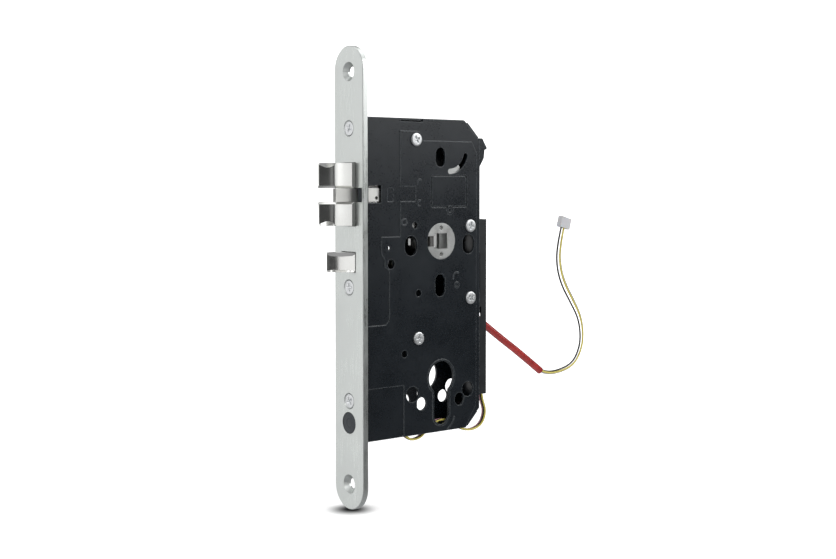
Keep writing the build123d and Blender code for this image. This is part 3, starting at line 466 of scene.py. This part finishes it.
# ------------------------------------------------------------------ latches
def arc_points(start, through, end, count):
    """Points along the circle through three places in plan, both ends included."""
    (ax, ay), (bx, by), (cx, cy) = start, through, end
    a_square, b_square, c_square = ax * ax + ay * ay, bx * bx + by * by, cx * cx + cy * cy
    area = 2 * (ax * (by - cy) + bx * (cy - ay) + cx * (ay - by))
    mid_x = (a_square * (by - cy) + b_square * (cy - ay) + c_square * (ay - by)) / area
    mid_y = (a_square * (cx - bx) + b_square * (ax - cx) + c_square * (bx - ax)) / area
    radius = math.hypot(ax - mid_x, ay - mid_y)
    first = math.atan2(ay - mid_y, ax - mid_x)
    middle = (math.atan2(by - mid_y, bx - mid_x) - first + math.pi) % math.tau - math.pi
    last = (math.atan2(cy - mid_y, cx - mid_x) - first + math.pi) % math.tau - math.pi
    if middle * last < 0:
        last += math.copysign(math.tau, middle)
    angles = [first + last * i / count for i in range(count + 1)]
    return [(mid_x + radius * math.cos(angle), mid_y + radius * math.sin(angle)) for angle in angles]


def wall_height(heights, share):
    """The height of the end wall at a share of the way along the ramp."""
    for (s0, h0), (s1, h1) in zip(heights, heights[1:]):
        if share <= s1:
            return h0 + (h1 - h0) * (share - s0) / (s1 - s0)
    return heights[-1][1]


def bulged(profile, steps, amount, toward):
    """The first steps of a profile pushed out toward a direction, all but at the ends."""
    moved = []
    for i, (x, y) in enumerate(profile):
        push = amount * max(0.0, math.sin(math.pi * min(i / steps, 1.0))) ** 0.5
        moved.append((x + toward[0] * push, y + toward[1] * push))
    return moved


def eased_corner(profile, rounds):
    """The profile with its inner corner rounded off, ends held."""
    for _ in range(rounds):
        profile = [profile[0]] + [
            tuple((a + 2 * b + c) / 4 for a, b, c in zip(before, here, after))
            for before, here, after in zip(profile, profile[1:], profile[2:])
        ] + [profile[-1]]
    return profile


BACK_DROP = 0.02                       # keeps the back's stacked corners apart


def ring(profile, back, z, walls=None, side=0):
    """One closed loop of a block: the ramp, dropped by its end wall, then the plain back."""
    last = len(profile) - 1
    loop = []
    for i, (x, y) in enumerate(profile):
        drop = wall_height(walls, i / last) if walls else 0.0
        loop.append((x, y, z - side * drop))
    return loop + [(x, y, z - side * BACK_DROP) for x, y in back]


def lofted(mesh, loops):
    """Skins a stack of equally long loops and closes both ends."""
    rings = [[mesh.verts.new(Vector(p) * MM) for p in loop] for loop in loops]
    count = len(rings[0])
    for low, high in zip(rings, rings[1:]):
        for i in range(count):
            j = (i + 1) % count
            mesh.faces.new((low[i], low[j], high[j], high[i]))
    mesh.faces.new(list(reversed(rings[0])))
    mesh.faces.new(rings[-1])


def rod(mesh, z, radius, start, end, sides=32):
    """A round rod along X with a small lead-in at its far end."""
    loops = []
    for x, r in ((start, radius), (end - 0.5, radius), (end, radius - 0.5)):
        loops.append([
            (x, r * math.cos(math.tau * i / sides), z + r * math.sin(math.tau * i / sides))
            for i in range(sides)
        ])
    lofted(mesh, loops)


EDGE_ANGLE = math.radians(24)          # a sharper turn than this is an edge


def solid_from(mesh, name, bevel):
    """A smooth-shaded object from mesh code, with small rounded edges."""
    bmesh.ops.recalc_face_normals(mesh, faces=mesh.faces)
    data = bpy.data.meshes.new(name)
    mesh.to_mesh(data)
    mesh.free()
    data.shade_smooth()
    data.set_sharp_from_angle(angle=EDGE_ANGLE)
    piece = bpy.data.objects.new(name, data)
    scene.collection.objects.link(piece)
    rounding = piece.modifiers.new("rounded edges", "BEVEL")
    rounding.width = bevel * MM
    rounding.segments = 2
    rounding.limit_method = "ANGLE"
    rounding.angle_limit = EDGE_ANGLE
    rounding.harden_normals = True
    return piece


# the cross latch, in millimetres like all the pieces below
LATCH_LOW, LATCH_TALL = 27.1, 31.5
LATCH_HALF = 6.0
LATCH_BACK = 11.0
LATCH_TOP = LATCH_LOW + LATCH_TALL
GAP_MID = LATCH_LOW + LATCH_TALL / 2 - 0.3
GAP_LOW, GAP_HIGH = GAP_MID - 3.5, GAP_MID + 3.5
LATCH_TIP = (-17.8, 4.8)
NOSE_START = (-10.4, 0.75)
NOSE_END = (-5.2, -6.0)
CHAMFER = 1.1
CHAMFER_X, CHAMFER_Y = 0.35, 0.9       # how far the ramp is set back at the gap
NOSE_SET_BACK = 0.75                   # and how much further back at the nose's end
RAMP_STEPS = 22
NOSE_STEPS = 16
LATCH_BULGE = 1.4                      # how far the ramp stands out again at the outer ends
# the end wall's height at shares of the way along the ramp, from the tip
LATCH_WALLS = [
    (0.0, 0.9), (0.12, 1.6), (0.25, 2.34), (0.38, 2.2), (0.5, 1.46), (0.58, 0.05), (1.0, 0.02),
]


def build_latch_head():
    """The two outer blocks of the cross latch, dished at their outer ends, and their bridge."""
    hollow = arc_points(LATCH_TIP, (-13.9, 3.2), NOSE_START, RAMP_STEPS)
    nose = arc_points(NOSE_START, (-7.9, -2.8), NOSE_END, NOSE_STEPS)[1:]
    ramp = eased_corner(hollow + nose, 10)
    proud = bulged(ramp, RAMP_STEPS, LATCH_BULGE, (-0.6, -0.8))
    eased = [(x + CHAMFER_X, y + CHAMFER_Y) for x, y in hollow]
    for i, (x, y) in enumerate(nose, 1):
        left = 1 - i / NOSE_STEPS
        eased.append((x + CHAMFER_X + NOSE_SET_BACK * (1 - left), y + CHAMFER_Y * left))
    back = [(LATCH_BACK, -LATCH_HALF), (LATCH_BACK, LATCH_HALF), (-17.1, LATCH_HALF), (-18.1, 5.2)]
    mesh = bmesh.new()
    for outer, inner, side in ((LATCH_TOP, GAP_HIGH, 1), (LATCH_LOW, GAP_LOW, -1)):
        lofted(mesh, [
            ring(eased, back, inner),
            ring(ramp, back, inner + side * CHAMFER),
            ring(ramp, back, outer, LATCH_WALLS, side),
            ring(proud, back, outer),
        ])
    web = [(8.0, 1.0), (LATCH_BACK, 1.0), (LATCH_BACK, LATCH_HALF), (8.0, LATCH_HALF)]
    lofted(mesh, [[(x, y, z) for x, y in web] for z in (GAP_LOW - 0.5, GAP_HIGH + 0.5)])
    return mesh


AUX_LOW, AUX_HIGH = 3.7, 13.7
AUX_BACK = 6.0
AUX_STEPS = 26
AUX_BULGE = 1.35
AUX_TOP_WALLS = [(0.0, 0.9), (0.12, 1.9), (0.5, 2.2), (0.9, 1.7), (1.0, 0.9)]
AUX_LOW_WALLS = [(0.0, 0.6), (0.15, 1.1), (0.8, 1.2), (1.0, 0.6)]
AUX_ROD_RADIUS, AUX_ROD_END = 1.6, 20.0


def build_aux_latch():
    """The auxiliary latch: one hollow ramp between two raised ends, and its spring rod."""
    hollow = arc_points((-12.9, 5.3), (-7.6, 0.3), (-3.2, -5.6), AUX_STEPS)
    proud = bulged(hollow, AUX_STEPS, AUX_BULGE, (-0.7, -0.7))
    back = [(AUX_BACK, -5.6), (AUX_BACK, 5.9), (-12.3, 5.9)]
    mesh = bmesh.new()
    lofted(mesh, [
        ring(proud, back, AUX_LOW),
        ring(hollow, back, AUX_LOW, AUX_LOW_WALLS, -1),
        ring(hollow, back, AUX_HIGH, AUX_TOP_WALLS, 1),
        ring(proud, back, AUX_HIGH),
    ])
    rod(mesh, (AUX_LOW + AUX_HIGH) / 2, AUX_ROD_RADIUS, AUX_BACK, AUX_ROD_END)
    return mesh


def cross_reach(angle, arm, half_width):
    """Distance from the centre to the edge of a cross recess at an angle."""
    turned = (angle + math.pi / 4) % (math.pi / 2) - math.pi / 4
    return min(arm, max(half_width / max(abs(math.sin(turned)), 1e-6), half_width * 1.35))


def turned_piece(mesh, steps, place, tilt=0.0, sides=96):
    """Skins rings given as (depth, radius or cross recess), seen from the front.

    Place turns (across, up, depth) into part millimetres; depth grows into the part.
    """
    loops = []
    for depth, reach in steps:
        loop = []
        for i in range(sides):
            angle = math.tau * i / sides
            radius = reach if isinstance(reach, float) else cross_reach(angle, *reach)
            loop.append(place(
                radius * math.cos(angle + tilt), radius * math.sin(angle + tilt), depth
            ))
        loops.append(loop)
    lofted(mesh, loops)


COVER_FACE = -7.5
COVER_SCREWS = [(34.8, 71.0), (72.2, 25.7), (72.4, -13.0), (36.4, -32.3)]
FOREND_SCREWS_Z = [76.0, -4.25, -62.1]
FOREND_FACE = -3.0
PLUG_Z = -73.2


def build_cover_screws():
    """Four flat zinc screw heads with a cross recess and a shallow dished rim."""
    mesh = bmesh.new()
    for number, (x0, z0) in enumerate(COVER_SCREWS):
        def place(u, v, depth, x0=x0, z0=z0):
            return (x0 + u, COVER_FACE + depth, z0 + v)
        turned_piece(mesh, [
            (-0.1, (1.3, 0.34)), (-0.9, (2.0, 0.48)), (-1.0, (2.15, 0.56)), (-1.0, 2.7),
            (-0.97, 3.0), (-0.85, 3.25), (-0.6, 3.38), (-0.2, 3.4), (0.0, 3.36), (0.02, 1.25), (8.0, 1.25),
        ], place, tilt=0.5 + number * 0.9)
    return mesh


def build_forend_screws():
    """Three countersunk screws, their heads a little below the forend's face."""
    mesh = bmesh.new()
    for number, z0 in enumerate(FOREND_SCREWS_Z):
        def place(u, v, depth, z0=z0):
            return (FOREND_FACE + depth, u, z0 + v)
        turned_piece(mesh, [
            (1.25, (0.75, 0.25)), (0.35, (2.05, 0.42)), (0.2, (2.25, 0.55)), (0.16, 2.9),
            (0.2, 3.45), (0.32, 3.6), (2.0, 1.55), (11.0, 1.55), (11.6, 0.9),
        ], place, tilt=0.35 + number * 1.1)
    return mesh


def build_plug():
    """The moulded plug: a rounded rim, a dished face and a thin centre that a screw breaks."""
    mesh = bmesh.new()

    def place(u, v, depth):
        return (FOREND_FACE + depth, u, PLUG_Z + v)
    turned_piece(mesh, [
        (0.62, 0.4), (0.6, 2.2), (0.55, 2.45), (0.36, 2.6), (0.34, 4.3), (0.22, 4.75), (0.2, 5.2),
        (0.3, 5.42), (0.5, 5.45), (5.2, 5.45), (5.2, 2.6), (1.2, 2.6), (1.1, 0.4),
    ], place)
    return mesh


LATCH_ROUNDING = 0.16
SMALL_ROUNDING = 0.04

for piece_name, body, slot_name, builder in (
    ("latch_head", "latch", "polished_latch", build_latch_head),
    ("aux_latch", "aux_latch", "polished_aux", build_aux_latch),
    ("cover_screws", "case", "zinc_screw", build_cover_screws),
    ("forend_screws", "case", "zinc_screw", build_forend_screws),
    ("cylinder_screw_plug", "case", "dark_plastic", build_plug),
):
    edge = LATCH_ROUNDING if "latch" in piece_name else SMALL_ROUNDING
    piece = solid_from(builder(), piece_name + "_visual", edge)
    piece.data.materials.append(FINISHES[slot_name])
    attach(piece, body)
    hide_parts(piece_name)


# ------------------------------------------------------------------ cords
SLEEVE_ROUTE = [
    (81.0, 0.0, -23.4), (99.0, 0.0, -35.9), (116.0, 0.0, -46.9), (132.4, 0.0, -58.5),
]
FREE_ROUTE = [
    (140.0, 0.0, -60.6), (149.0, 0.0, -60.0), (158.0, 0.0, -57.6), (163.6, 0.0, -52.4),
    (167.2, 0.0, -43.2), (165.4, 0.0, -30.4), (158.4, 0.0, -19.8), (151.2, 0.0, -9.6),
    (147.4, 0.0, 0.4), (147.2, 0.0, 11.4), (150.4, 0.0, 22.6),
]
WIRE_D = 1.0
SLEEVE_D = 4.0
WIRES = {"wire_yellow": (0.0, -0.62), "wire_black": (0.95, 0.4), "wire_white": (-0.95, 0.4)}
# how far apart the wires run at each point of the route
SPREAD = [0.7, 0.7, 0.7, 0.7, 0.7, 0.8, 0.9, 1.0, 1.2, 1.4, 1.6, 1.7, 1.6, 1.4, 1.2]


def shifted(points, sideways, along_y):
    """The route moved sideways, in its own plane and along Y."""
    moved = []
    for index, (x, y, z) in enumerate(points):
        before = Vector(points[max(index - 1, 0)])
        after = Vector(points[min(index + 1, len(points) - 1)])
        forward = (after - before).normalized()
        across = sideways * SPREAD[index]
        moved.append((x - forward.z * across, y + along_y, z + forward.x * across))
    return moved


def cord_curve(name, points, diameter):
    """One smooth spline whose control points are the route, given a round section."""
    curve = bpy.data.curves.new(name, "CURVE")
    curve.dimensions = "3D"
    spline = curve.splines.new("NURBS")
    spline.points.add(len(points) - 1)
    for control, (x, y, z) in zip(spline.points, points):
        control.co = (x * MM, y * MM, z * MM, 1)
        control.radius = diameter * MM / 2
    spline.order_u = 3
    spline.use_endpoint_u = True
    spline.resolution_u = 12
    curve.bevel_depth = 1.0
    curve.bevel_resolution = 6
    curve.use_fill_caps = True
    piece = bpy.data.objects.new(name, curve)
    scene.collection.objects.link(piece)
    return piece


def path_length(points):
    """Length in metres of the smooth line that a route gives."""
    probe = cord_curve("probe", points, 0)
    probe.data.bevel_depth = 0
    mesh = bpy.data.meshes.new_from_object(probe)
    places = [v.co.copy() for v in mesh.vertices]
    bpy.data.meshes.remove(mesh)
    bpy.data.objects.remove(probe)
    return sum((b - a).length for a, b in zip(places, places[1:]))


sleeve = cord_curve("sleeve_visual", SLEEVE_ROUTE, SLEEVE_D)
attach(sleeve, "case")
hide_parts("red_sleeve")
sleeve.data.materials.append(FINISHES["sleeve_red"])
tuple(c * MM for c in SLEEVE_ROUTE[0])
path_length(SLEEVE_ROUTE)

for name, (sideways, along_y) in WIRES.items():
    route = shifted(SLEEVE_ROUTE + FREE_ROUTE, sideways, along_y)
    wire = cord_curve(name + "_visual", route, WIRE_D)
    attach(wire, "case")
    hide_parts(name)
    wire_slot = name.replace("wire", "insulation")
    wire.data.materials.append(FINISHES[wire_slot])
    tuple(c * MM for c in route[0])
    path_length(route)
